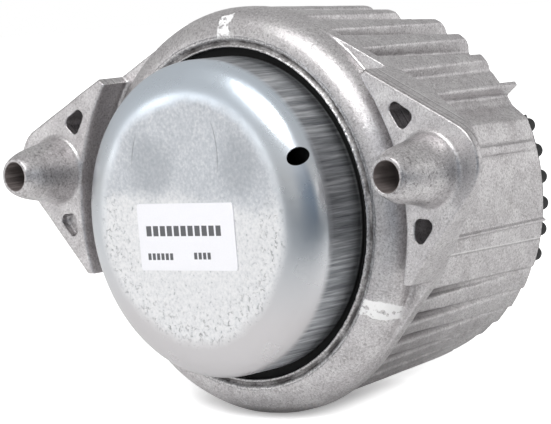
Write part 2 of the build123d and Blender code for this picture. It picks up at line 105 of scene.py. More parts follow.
def makeCamera():
    az, el, roll = (radians(cameraPlace[k]) for k in ("azimuth", "elevation", "roll"))
    back = Vector((sin(az) * cos(el), -cos(az) * cos(el), sin(el)))
    right = Vector((cos(az), sin(az), 0))
    up = back.cross(right)
    rolledRight = right * cos(roll) + up * sin(roll)
    rolledUp = up * cos(roll) - right * sin(roll)
    camera = bpy.data.objects.new("camera", bpy.data.cameras.new("camera"))
    camera.data.lens = cameraPlace["lens"]
    camera.data.sensor_width = cameraPlace["sensor"]
    camera.data.clip_start = cameraPlace["nearest"]
    turn = Matrix((rolledRight, rolledUp, back)).transposed()
    camera.matrix_world = Matrix.Translation(cameraPlace["place"]) @ turn.to_4x4()
    scene.collection.objects.link(camera)
    scene.camera = camera


makeCamera()

# Lamps: place, target, width, height, watts
studioLamps = {
    "frontSoftbox": ((0.12, -0.64, 0.74), (0, 0, 0), 0.58, 0.46, 5.1),
    "leftPanel": ((-0.75, -0.85, 0.10), (0, 0, 0), 0.6, 0.3, 0.6),
    "rightPanel": ((0.95, 0.90, 0.36), (0, 0.04, 0), 0.9, 0.6, 0.7),
}


def makeLamps():
    for name, (place, target, width, height, watts) in studioLamps.items():
        lamp = bpy.data.lights.new(name, "AREA")
        lamp.energy = watts
        lamp.shape = "RECTANGLE"
        lamp.size = width
        lamp.size_y = height
        holder = bpy.data.objects.new(name, lamp)
        holder.location = place
        holder.rotation_euler = (Vector(place) - Vector(target)).to_track_quat("Z", "Y").to_euler()
        scene.collection.objects.link(holder)


makeLamps()

# White table: close to the object it keeps the shadow, further off it glows to plain white for the camera
# A side of the shadow is a point in X and Y and the direction out of the shadow, a pair named reach or edge
# is where a change starts and ends, and shadowGlow is the glow at both ends of the shadow's reach
whiteTable = {
    "halfSize": 6.0,
    "colour": "#eeeeee",
    "shadowSides": [((0.002, 0.014), (0.969, 0.247)), ((0, 0.014), (0, -1)),
                    ((-0.0284, 0.0258), (-0.603, -0.797))],
    "shadowRound": 0.030,
    "shadowReach": (0.04, 0.16),
    "shadowGlow": (0.28, 0.95),
    "shadowEdge": (0.006, 0.022),
    "farGlow": 1.0,
    "reflectedGlow": 0.10,
    "front": (0.67, -0.74, 0),
    "frontReach": (0.06, 0.28),
    "frontColour": "#5d6670",
}


def makeTable():
    low = cadBox[0][2]
    size = whiteTable["halfSize"]
    mesh = bpy.data.meshes.new("table")
    mesh.from_pydata([(-size, -size, low), (size, -size, low), (size, size, low), (-size, size, low)],
                     [], [(0, 1, 2, 3)])
    table = bpy.data.objects.new("table", mesh)
    scene.collection.objects.link(table)
    material, add = newMaterial("whiteTable")
    place = add("TexCoord", out="Object")
    # the shadow is a fan that opens rearwards and pales with distance; away is how far a point lies
    # outside its sides, with the corners between them rounded
    away = None
    for point, outwards in whiteTable["shadowSides"]:
        beside = add("VectorMath", [place, (*point, low)], operation="SUBTRACT")
        beside = add("VectorMath", [beside, (*outwards, 0)], out="Value", operation="DOT_PRODUCT")
        if away is not None:
            beside = add("Math", [away, beside, whiteTable["shadowRound"]], operation="SMOOTH_MAX")
        away = beside
    reach = add("VectorMath", [place, (0, 0, low)], out="Value", operation="DISTANCE")
    inShadow = add("MapRange", [reach, *whiteTable["shadowReach"], *whiteTable["shadowGlow"]])
    glow = add("MapRange", [away, *whiteTable["shadowEdge"], inShadow, whiteTable["farGlow"]],
               interpolation_type="SMOOTHSTEP")
    glow = add("Math", [glow, add("LightPath", out="Is Camera Ray")], operation="MULTIPLY")
    # mirrored in metal, the table is bright, but it darkens towards the front right
    mirrored = add("LightPath", out="Is Glossy Ray")
    front = add("VectorMath", [place, whiteTable["front"]], out="Value", operation="DOT_PRODUCT")
    front = add("MapRange", [front, *whiteTable["frontReach"]])
    front = add("Math", [front, mirrored], operation="MULTIPLY")
    colour = add("Mix", {0: front, 6: whiteTable["colour"], 7: whiteTable["frontColour"]},
                 out=2, data_type="RGBA")
    lift = add("Math", [add("Math", [mirrored, front], operation="SUBTRACT"), whiteTable["reflectedGlow"]],
               operation="MULTIPLY")
    emission = add("Emission", {"Strength": add("Math", [glow, lift], operation="ADD")})
    add("OutputMaterial", {"Surface": add("AddShader", [add("BsdfDiffuse", {"Color": colour}), emission])})
    mesh.materials.append(material)


makeTable()

# Surroundings: even light for matt surfaces, and for metal a white backdrop behind the object, a greyer
# room in front of it and a dim, bluish patch at the front right
# A pair is where one level starts and where it ends to turn into the next, along a unit direction
surroundings = {
    "matt": 0.60,
    "behind": 0.88,
    "leftShare": 0.52,
    "leftToRight": (-0.6, 0.3),
    "inFront": 0.63,
    "frontToBack": (-0.35, 0.45),
    "overhead": 0.52,
    "levelToOverhead": (0.05, 0.5),
    "patch": (0.67, -0.74, 0.02),
    "patchEdge": (0.80, 0.98),
    "patchTint": "#93a5ba",
    "patchShare": 0.95,
}


def makeSurroundings():
    world = bpy.data.worlds.new("surroundings")
    world.use_nodes = True
    world.node_tree.nodes.clear()
    add = partial(addNode, world.node_tree)
    room = surroundings
    direction = add("TexCoord", out="Generated")
    x, y, z = add("SeparateXYZ", [direction]).node.outputs
    behind = add("MapRange", [x, *room["leftToRight"], room["leftShare"] * room["behind"], room["behind"]])
    level = add("MapRange", [y, *room["frontToBack"], room["inFront"], behind])
    above = add("MapRange", [z, *room["levelToOverhead"]])
    level = add("Mix", {0: above, 2: level, 3: room["overhead"]}, data_type="FLOAT")
    patch = add("VectorMath", [direction, room["patch"]], out="Value", operation="DOT_PRODUCT")
    patch = add("MapRange", [patch, *room["patchEdge"]], interpolation_type="SMOOTHSTEP")
    tint = add("Mix", {0: patch, 6: "#ffffff", 7: room["patchTint"]}, out=2, data_type="RGBA")
    share = add("MapRange", [patch, 0, 1, 1, room["patchShare"]])
    level = add("Math", [level, share], operation="MULTIPLY")
    mirrored = add("Background", {"Color": tint, "Strength": level})
    matt = add("Background", {"Color": "#ffffff", "Strength": room["matt"]})
    white = add("Background", {"Color": "#ffffff", "Strength": 1.0})
    lit = add("MixShader", [add("LightPath", out="Is Glossy Ray"), matt, mirrored])
    picked = add("MixShader", [add("LightPath", out="Is Camera Ray"), lit, white])
    add("OutputWorld", {"Surface": picked})
    scene.world = world


makeSurroundings()
print("stage: camera, lamps, table and surroundings")

# Housing: the die casting, with rounded edges and the slight waviness of a worn die
castingSkin = {
    "weld": 0.005 * mm,
    "voxel": 0.42 * mm,
    "softening": 0.5,
    "softenings": 2,
    "wave": 0.09 * mm,
    "waveLength": 8 * mm,
    "waveMiddle": 0.6,
    "waveStart": 2 * mm,
    "trianglesKept": 0.18,
    "mouthRadius": 50.3 * mm,
    "mouthDepth": 1.7 * mm,
    "bossX": 71.4 * mm,
    "bossZ": 12.75 * mm,
    "boltHoleRadius": 4.25 * mm,
    "boltHoleWall": (3 * mm, 4.6 * mm),
    "boltHoleRear": 6 * mm,
}


def evaluated(piece):
    # the piece's mesh with its modifiers applied
    graph = bpy.context.evaluated_depsgraph_get()
    return bpy.data.meshes.new_from_object(piece.evaluated_get(graph), depsgraph=graph)


def makeCastingSkin():
    # a merged copy of the casting is remeshed, softened, moved in and out by slow noise and thinned
    skin = bpy.data.objects.new("housingSkin", nodes["housing"].data.copy())
    scene.collection.objects.link(skin)
    weld = skin.modifiers.new("weld", "WELD")
    weld.merge_threshold = castingSkin["weld"]
    remesh = skin.modifiers.new("remesh", "REMESH")
    remesh.mode = "VOXEL"
    remesh.voxel_size = castingSkin["voxel"]
    soften = skin.modifiers.new("soften", "SMOOTH")
    soften.factor = castingSkin["softening"]
    soften.iterations = castingSkin["softenings"]
    mesh = evaluated(skin)
    points = np.empty(len(mesh.vertices) * 3)
    mesh.vertices.foreach_get("co", points)
    points = points.reshape(-1, 3)
    normals = np.empty(points.size)
    mesh.vertex_normals.foreach_get("vector", normals)
    normals = normals.reshape(-1, 3)
    # each point moves along its normal by noise on its place, and not at all at the mouth
    places = points / castingSkin["waveLength"]
    waves = np.fromiter((noise.noise(Vector(p)) for p in places), float, len(places))
    radius = np.hypot(points[:, 0], points[:, 2])
    outside = np.clip((radius - castingSkin["mouthRadius"]) / castingSkin["waveStart"], 0, 1)
    points += normals * ((waves - castingSkin["waveMiddle"]) * castingSkin["wave"] * outside)[:, None]
    # the lip is a piece of its own, so the casting stays back behind it
    atMouth = (radius < castingSkin["mouthRadius"]) & (points[:, 1] < castingSkin["mouthDepth"])
    points[atMouth, 1] = castingSkin["mouthDepth"]
    # the bolt holes are made round again: points near a hole's wall go to its radius
    nearest, furthest = castingSkin["boltHoleWall"]
    for side in (-1, 1):
        offset = points[:, (0, 2)] - (side * castingSkin["bossX"], castingSkin["bossZ"])
        distance = np.hypot(offset[:, 0], offset[:, 1])
        wall = (distance > nearest) & (distance < furthest) & (points[:, 1] < castingSkin["boltHoleRear"])
        move = offset[wall] * (castingSkin["boltHoleRadius"] / distance[wall] - 1)[:, None]
        points[wall] += np.insert(move, 1, 0, axis=1)
    mesh.vertices.foreach_set("co", points.ravel())
    skin.modifiers.clear()
    skin.data = mesh
    thin = skin.modifiers.new("thin", "DECIMATE")
    thin.ratio = castingSkin["trianglesKept"]
    skin.data = evaluated(skin)
    skin.modifiers.clear()
    skin.data.shade_smooth()
    skin.data.calc_loop_triangles()
    triangles = len(skin.data.loop_triangles)
    print("stage: casting skin,", len(mesh.vertices), "points before,", triangles, "triangles")
    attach(skin, "root")
    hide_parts("housing")
    return skin


# Rolled lip: peened over the cap's flange, so its edge is nicked and the groove beside it is rough
rolledLip = {
    "inner": 47.5 * mm,
    "crown": 47.85 * mm,
    "groove": 48.9 * mm,
    "grooveDepth": 1.0 * mm,
    "shoulder": 49.7 * mm,
    "outer": 50.75 * mm,
    "rear": 2.4 * mm,
    "nick": 0.22 * mm,
    "nickFrom": 0.4,
    "nickMost": 1.5,
    "nickLength": 0.9 * mm,
    "segments": 900,
}


def makeRolledLip():
    # a profile of radius and depth turned about Y: up the bore, over the crown, through the groove and
    # out under the face of the ring; noise then moves each point rearwards by its row's share
    lip = rolledLip
    profile = np.array([
        (lip["inner"], lip["rear"], 0),
        (lip["inner"], 0.35 * mm, 0.5),
        (lip["inner"] + 0.08 * mm, 0.1 * mm, 0.9),
        (lip["crown"] - 0.1 * mm, 0.01 * mm, 1.0),
        (lip["crown"] + 0.1 * mm, 0.01 * mm, 0.9),
        (lip["crown"] + 0.33 * mm, 0.25 * mm, 1.0),
        (lip["groove"] - 0.4 * mm, lip["grooveDepth"] * 0.8, 1.2),
        (lip["groove"], lip["grooveDepth"], 1.2),
        (lip["groove"] + 0.35 * mm, lip["grooveDepth"] * 0.75, 1.6),
        (lip["shoulder"] - 0.12 * mm, 0.3 * mm, 1.8),
        (lip["shoulder"] + 0.15 * mm, 0.06 * mm, 1.0),
        (lip["outer"] - 0.4 * mm, 0.07 * mm, 0.2),
        (lip["outer"], 0.25 * mm, 0),
    ])
    turns = np.linspace(0, 2 * np.pi, lip["segments"], endpoint=False)
    radius, depth, share = (column[:, None] for column in profile.T)
    rings = np.stack([radius * np.cos(turns), depth + 0 * turns, radius * np.sin(turns)], axis=-1)
    steps = rings.reshape(-1, 3) / lip["nickLength"]
    rough = np.fromiter((noise.noise(Vector(p)) for p in steps), float, len(steps)).reshape(len(profile), -1)
    rings[:, :, 1] += lip["nick"] * share * (rough + lip["nickFrom"]).clip(0, lip["nickMost"])
    index = np.arange(rings.shape[0] * rings.shape[1]).reshape(rings.shape[:2])
    after = np.roll(index, -1, axis=1)
    faces = np.stack([index[:-1], after[:-1], after[1:], index[1:]], axis=-1).reshape(-1, 4)
    mesh = bpy.data.meshes.new("rolledLip")
    mesh.from_pydata(rings.reshape(-1, 3).tolist(), [], faces.tolist())
    mesh.shade_smooth()
    piece = bpy.data.objects.new("rolledLip", mesh)
    scene.collection.objects.link(piece)
    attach(piece, "root")
    return piece


castingPiece = makeCastingSkin()
lipPiece = makeRolledLip()

# Crests of the lower fins, as a cone: its radius at Y = 0 and how much it falls for each metre along Y
barrelCone = {"radius": 60.0 * mm, "fall": 0.095}

# Patterns on the casting, their scale in patterns for each metre: clouds are 6 mm wide, stains 17 mm, shot
# marks 0.6 mm, pits 0.3 mm, flow lines 2.4 mm, knocks 0.9 mm and the chips in the paint 1.4 mm
castingPatterns = {
    "cloud": {"Scale": 170, "Detail": 4, "Roughness": 0.6},
    "stain": {"Scale": 60, "Detail": 5, "Roughness": 0.65},
    "grain": {"Scale": 1600, "Detail": 3, "Roughness": 0.7},
    "pits": {"Scale": 3600, "Detail": 2},
    "swirl": {"Scale": 420, "Detail": 2, "Distortion": 2.5},
    "knocks": {"Scale": 1100, "Detail": 5, "Roughness": 0.75},
    "chips": {"Scale": 700, "Detail": 4, "Roughness": 0.6},
}

# Marks on the casting: where each starts and ends in what it follows, its share at both, and its colour
castingMarks = {
    "stain": (0.56, 0.70, 0, 0.45, "#aaa5a5"),
    "darkGrain": (0.47, 0.33, 0, 0.55, "#858182"),
    "brightGrain": (0.54, 0.66, 0, 0.55, "#f8f7f7"),
    "flowLine": (0.008, 0.030, 0.5, 0, "#8d8888"),
    "knocks": (0.46, 0.36, 0, 0.75, "#6f6a6a"),
    "pits": (0.30, 0.24, 0, 0.6, "#5f5b5b"),
    # the next mark is painted shade in the grooves of the lower fins
    "grooveShade": (0.2 * mm, 2.4 * mm, 0, 0.85, "#625e5f"),
    # the next two marks are a painted highlight along the witness line and painted shade just below it
    "witnessHighlight": (0.001, 0.004, 0.6, 0, "#f6f5f5"),
    "witnessShade": (0.001, 0.006, 0.45, 0, "#8a8687"),
    # the next mark is painted shade on the rounded front edge, which damps its highlight
    "frontEdgeShade": (0.06 * mm, 0.50 * mm, 0.7, 0, "#858282"),
    "earSeam": (0.06 * mm, 0.26 * mm, 0.7, 0, "#827d7e"),
    "rearSeam": (0.06 * mm, 0.26 * mm, 0.7, 0, "#7d7879"),
    # the next mark is a painted highlight along the flash
    "flashHighlight": (0.06 * mm, 0.34 * mm, 0.7, 0, "#f7f6f6"),
    # the next mark is painted shade in the recesses, from ambient occlusion
    "occlusionShade": (0.82, 0.35, 0, 0.5, "#5c5859"),
}

# Where those marks lie: a pair is where an area starts and where it is full
castingAreas = {
    "bossReach": (10 * mm, 9 * mm),
    "bossDepth": (-0.5 * mm, -2.5 * mm),
    "grooveShadeHeight": (-18 * mm, -21 * mm),
    "grooveShadeDepth": (12 * mm, 14 * mm),
    "witnessDepth": (12.5 * mm, 14 * mm),
    "witnessAngle": -0.2265,
    "witnessFall": 0.403,
    "witnessShift": 0.008,
    "seamReach": (58.8 * mm, 59.4 * mm),
    "seamFacingUp": (0.25, 0.5),
    "seamDepths": {"frontEdgeShade": -0.95 * mm, "earSeam": 0.9 * mm, "rearSeam": 3.6 * mm, "flashHighlight": 4.1 * mm},
    "occlusionShadeDistance": 4 * mm,
    "boltHoleReach": (4.45 * mm, 4.30 * mm),
}

# Paint dabs on the ring, in mm: a firm one at the lower right, and a dried, broken one on top
paintDabs = [
    {"centre": (47.3, -25.8), "half": (4.9, 2.2), "turn": -19.0, "broken": 0.36, "scraped": 0.16},
    {"centre": (-1.2, 52.9), "half": (2.3, 3.8), "turn": 6.0, "broken": 0.46, "scraped": 0},
]
paintEdges = {
    "wander": 4 * mm,
    "width": 0.12 * mm,
    "scrape": (0.1 * mm, 0.8 * mm),
    "chip": (-0.03, 0.02),
    "depth": (9 * mm, 7 * mm),
}


def paintOnRing(add, place, y, cloud, chips):
    # 1 inside turned rectangles in X and Z, whose edges wander with the cloud and which the chips break up
    wander = add("Math", [cloud, paintEdges["wander"], -paintEdges["wander"] / 2], operation="MULTIPLY_ADD")
    front = add("MapRange", [y, *paintEdges["depth"]])
    paint = None
    for dab in paintDabs:
        centre = (dab["centre"][0] * mm, 0, dab["centre"][1] * mm)
        turned = add("VectorRotate", {"Vector": place, "Center": centre, "Angle": radians(dab["turn"])},
                     rotation_type="Y_AXIS")
        moved = add("VectorMath", [turned, centre], operation="SUBTRACT")
        across, _, up = add("SeparateXYZ", [moved]).node.outputs
        u, v = (add("Math", [axis], operation="ABSOLUTE") for axis in (across, up))
        insideU, insideV = (add("Math", [half * mm, axis], operation="SUBTRACT")
                            for half, axis in zip(dab["half"], (u, v)))
        inside = add("Math", [insideU, insideV], operation="MINIMUM")
        inside = add("Math", [inside, wander], operation="ADD")
        inside = add("MapRange", [inside, 0, paintEdges["width"]])
        # a scraped dab is thin along its middle
        scraped = add("MapRange", [v, *paintEdges["scrape"], dab["scraped"], 0])
        unbroken = add("Math", [chips, scraped], operation="SUBTRACT")
        unbroken = add("MapRange", [unbroken, *(dab["broken"] + step for step in paintEdges["chip"])])
        for area in (unbroken, front):
            inside = add("Math", [inside, area], operation="MULTIPLY")
        paint = inside if paint is None else add("Math", [paint, inside], operation="MAXIMUM")
    return paint


def dieCastAluminium():
    # aluminium-silicon die casting, shot-blasted: light grey, sparkling grain, stains and dark pits;
    # the bosses were knocked about most and are more speckled, and painted shade darkens the recesses
    material, add = newMaterial("shotBlastedDieCastAluminium")
    areas = castingAreas
    place = add("TexCoord", out="Object")
    x, y, z = add("SeparateXYZ", [place]).node.outputs
    radius = add("VectorMath", [add("CombineXYZ", {0: x, 2: z})], out="Value", operation="LENGTH")
    cloud, stain, grain, pits, swirl, knocks, chips = (
        add("TexNoise", {"Vector": place, **settings}) for settings in castingPatterns.values())
    flow = add("Math", [add("Math", [swirl, 0.5], operation="SUBTRACT")], operation="ABSOLUTE")
    # bosses: distance from the nearer bolt axis, in front of the flange
    across = add("Math", [x], operation="ABSOLUTE")
    across = add("Math", [across, castingSkin["bossX"]], operation="SUBTRACT")
    above = add("Math", [z, castingSkin["bossZ"]], operation="SUBTRACT")
    fromBoss = add("VectorMath", [add("CombineXYZ", {0: across, 2: above})], out="Value", operation="LENGTH")
    onBosses = [add("MapRange", [fromBoss, *areas["bossReach"]]), add("MapRange", [y, *areas["bossDepth"]])]
    # painted shade in the grooves of the lower fins: by how far a point lies inside the cone of their crests
    groove = add("Math", [y, -barrelCone["fall"], barrelCone["radius"]], operation="MULTIPLY_ADD")
    groove = add("Math", [groove, radius], operation="SUBTRACT")
    inGrooves = [add("MapRange", [z, *areas["grooveShadeHeight"]]), add("MapRange", [y, *areas["grooveShadeDepth"]])]
    # painted highlight along the witness line on the smooth panel, with painted shade just below it:
    # its height as an angle in radians, which falls along Y
    witness = add("Math", [y, -areas["witnessFall"], areas["witnessAngle"]], operation="MULTIPLY_ADD")
    witness = add("Math", [add("Math", [z, x], operation="ARCTAN2"), witness], operation="SUBTRACT")
    shaded = add("Math", [witness, areas["witnessShift"]], operation="ADD")
    witness = add("Math", [witness], operation="ABSOLUTE")
    shaded = add("Math", [shaded], operation="ABSOLUTE")
    onPanel = [add("MapRange", [y, *areas["witnessDepth"]])]
    marks = [
        ("stain", stain, []),
        ("darkGrain", grain, []),
        ("brightGrain", grain, []),
        ("flowLine", flow, []),
        ("knocks", knocks, onBosses),
        ("pits", pits, []),
        ("grooveShade", groove, inGrooves),
        ("witnessHighlight", witness, onPanel),
        ("witnessShade", shaded, onPanel),
    ]
    # marks round the edge of the flange and its ears, by the distance from each along Y: two dark parting
    # lines, painted shade on the rounded front edge that damps its highlight, and a painted highlight along
    # the flash
    facingUp = add("SeparateXYZ", [add("TexCoord", out="Normal")], out=2)
    onEdges = [add("MapRange", [radius, *areas["seamReach"]]),
               add("MapRange", [facingUp, *areas["seamFacingUp"]])]
    for name, depth in areas["seamDepths"].items():
        off = add("Math", [add("Math", [y, depth], operation="SUBTRACT")], operation="ABSOLUTE")
        marks.append((name, off, onEdges))
    # painted shade: darker where ambient occlusion finds the surface enclosed
    recess = add("AmbientOcclusion", {"Distance": areas["occlusionShadeDistance"]}, out="AO", samples=8)
    marks.append(("occlusionShade", recess, []))
    base = add("ValToRGB", {"Fac": cloud}, stops=[(0.3, "#c8c5c6"), (0.5, "#d6d3d4"), (0.7, "#e1dfdf")])
    for name, pattern, within in marks:
        *limits, colour = castingMarks[name]
        share = add("MapRange", [pattern, *limits])
        for area in within:
            share = add("Math", [share, area], operation="MULTIPLY")
        base = add("Mix", {0: share, 6: base, 7: colour}, out=2, data_type="RGBA")
    # swarf and oil in the bolt holes, and paint, hide the metal
    drilled = add("MapRange", [fromBoss, *areas["boltHoleReach"]])
    base = add("Mix", {0: drilled, 6: base, 7: "#6b6361"}, out=2, data_type="RGBA")
    paint = paintOnRing(add, place, y, cloud, chips)
    base = add("Mix", {0: paint, 6: base, 7: "#fdfdfd"}, out=2, data_type="RGBA")
    metallic = add("MapRange", [add("Math", [paint, drilled], operation="MAXIMUM"), 0, 1, 1, 0])
    roughness = add("MapRange", [cloud, 0.3, 0.7, 0.46, 0.36])
    roughness = add("Math", [roughness, add("MapRange", [drilled, 0, 1, 0, 0.3])], operation="ADD")
    normal = add("Bump", {"Height": cloud, "Distance": 0.12 * mm})
    for height, distance in ((grain, 0.07 * mm), (pits, 0.03 * mm), (paint, 0.04 * mm)):
        normal = add("Bump", {"Height": height, "Distance": distance, "Normal": normal})
    add("OutputMaterial", {"Surface": add("BsdfPrincipled", {
        "Base Color": base, "Metallic": metallic, "Roughness": roughness, "Normal": normal})})
    return material


# Finish of the lip: depths at which dirt and the painted shade in the bore start and are full, how the dirt
# gathers in patches, and how far the painted shade reaches from the bore
lipFinishing = {
    "dirtDepth": (0.25 * mm, 0.9 * mm),
    "dirtPatches": (0.35, 0.60, 0.25, 0.85),
    # painted shade in the bore: the depths where it starts and is full, and how far it reaches
    "boreShadeDepth": (0.15 * mm, 0.5 * mm),
    "boreShadeEdge": 0.1 * mm,
}


def peenedLip():
    # the same alloy, burnished by the roller: bright, nicked edge and dirt in the groove beside it;
    # the grain is 0.7 mm wide and the patches of dirt 8 mm
    material, add = newMaterial("burnishedAluminiumLip")
    place = add("TexCoord", out="Object")
    x, y, z = add("SeparateXYZ", [place]).node.outputs
    grain = add("TexNoise", {"Vector": place, "Scale": 1500, "Detail": 4, "Roughness": 0.7})
    patch = add("TexNoise", {"Vector": place, "Scale": 130, "Detail": 3})
    base = add("ValToRGB", {"Fac": grain}, stops=[(0.35, "#9b9798"), (0.5, "#cfcdcd"), (0.65, "#eeeded")])
    depth = add("MapRange", [y, *lipFinishing["dirtDepth"]])
    dirt = add("MapRange", [patch, *lipFinishing["dirtPatches"]])
    dirt = add("Math", [depth, dirt], operation="MULTIPLY")
    base = add("Mix", {0: dirt, 6: base, 7: "#4c4847"}, out=2, data_type="RGBA")
    # inside the bore the lip is black: painted shade of the deep gap, which hides the metal
    radius = add("VectorMath", [add("CombineXYZ", {0: x, 2: z})], out="Value", operation="LENGTH")
    bore = add("MapRange", [radius, rolledLip["crown"], rolledLip["inner"] + lipFinishing["boreShadeEdge"]])
    bore = add("Math", [bore, add("MapRange", [y, *lipFinishing["boreShadeDepth"]])], operation="MULTIPLY")
    base = add("Mix", {0: bore, 6: base, 7: "#131212"}, out=2, data_type="RGBA")
    add("OutputMaterial", {"Surface": add("BsdfPrincipled", {
        "Base Color": base, "Metallic": add("MapRange", [bore, 0, 1, 1, 0]),
        "Roughness": add("MapRange", [depth, 0, 1, 0.32, 0.6]),
        "Normal": add("Bump", {"Height": grain, "Distance": 0.14 * mm})})})
    return material


# Patterns on the cap, their scale in patterns for each metre: clouds are 18 mm wide, spangles 1 mm,
# handling marks 1.6 mm and the streaks of the drawn wall 1.1 mm
capPatterns = {
    "cloud": {"Scale": 55, "Detail": 5, "Roughness": 0.6},
    "spangle": {"Scale": 1050, "Detail": 4, "Roughness": 0.62},
    "handling": {"Scale": 620, "Detail": 4, "Roughness": 0.7, "Distortion": 0.6},
    "streak": {"Scale": 900, "Detail": 4, "Roughness": 0.7},
}

# Marks on the cap: where each starts and ends, and, where there are four values, its share at both; a
# wander is how far the cloud shifts an edge
capMarks = {
    "faceEdge": (36.0 * mm, 32.5 * mm),
    "edgeWander": 8 * mm,
    "toneStep": (11 * mm, 2 * mm),
    "stepWander": 22 * mm,
    # painted reflection: a bluer, lighter tint high on the shoulder and a neutral one low on it
    "shoulderReflectionTints": [((12 * mm, 34 * mm, 0, 0.8), "#e2edf8"), ((-4 * mm, -28 * mm, 0, 0.9), "#d3d0d1")],
    # the upper tones are darker and the lower paler: painted reflection of the room and of the table below
    "upperTones": [(0.28, "#b9bec3"), (0.5, "#cacdd2"), (0.72, "#dfe1e3")],
    "lowerTones": [(0.27, "#a7aaad"), (0.38, "#e2e3e5"), (0.62, "#f2f2f3")],
    "wallTones": [(0.32, "#808387"), (0.5, "#b6b9bd"), (0.68, "#e6e8ea")],
    "cloudySpots": [(-15.1 * mm, 0, 15.3 * mm), (19.8 * mm, 0, 15.2 * mm)],
    "spotReach": (12 * mm, 4 * mm, 0, 0.42),
    "handling": (0.45, 0.36, 0, 0.75),
    "handlingReach": (22 * mm, 32 * mm),
    "wall": (-12.8 * mm, -10.3 * mm),
    # grime and painted shade in the deep gap where the wall meets the flange
    "grimeAndShade": (0.4 * mm, 1.7 * mm),
    "scratchWidth": (0.06 * mm, 0.22 * mm, 0.65, 0),
    "scratchFade": 4 * mm,
}

# Scratches on the cap's face: thin arcs about a centre, on one side of it, between two heights
capScratches = [
    {"centre": (-13.0 * mm, 0, 19.0 * mm), "radius": 25.1 * mm, "low": 13 * mm, "high": 29 * mm, "side": 1},
    {"centre": (6.0 * mm, 0, 13.0 * mm), "radius": 27.6 * mm, "low": 15 * mm, "high": 26 * mm, "side": -1},
]


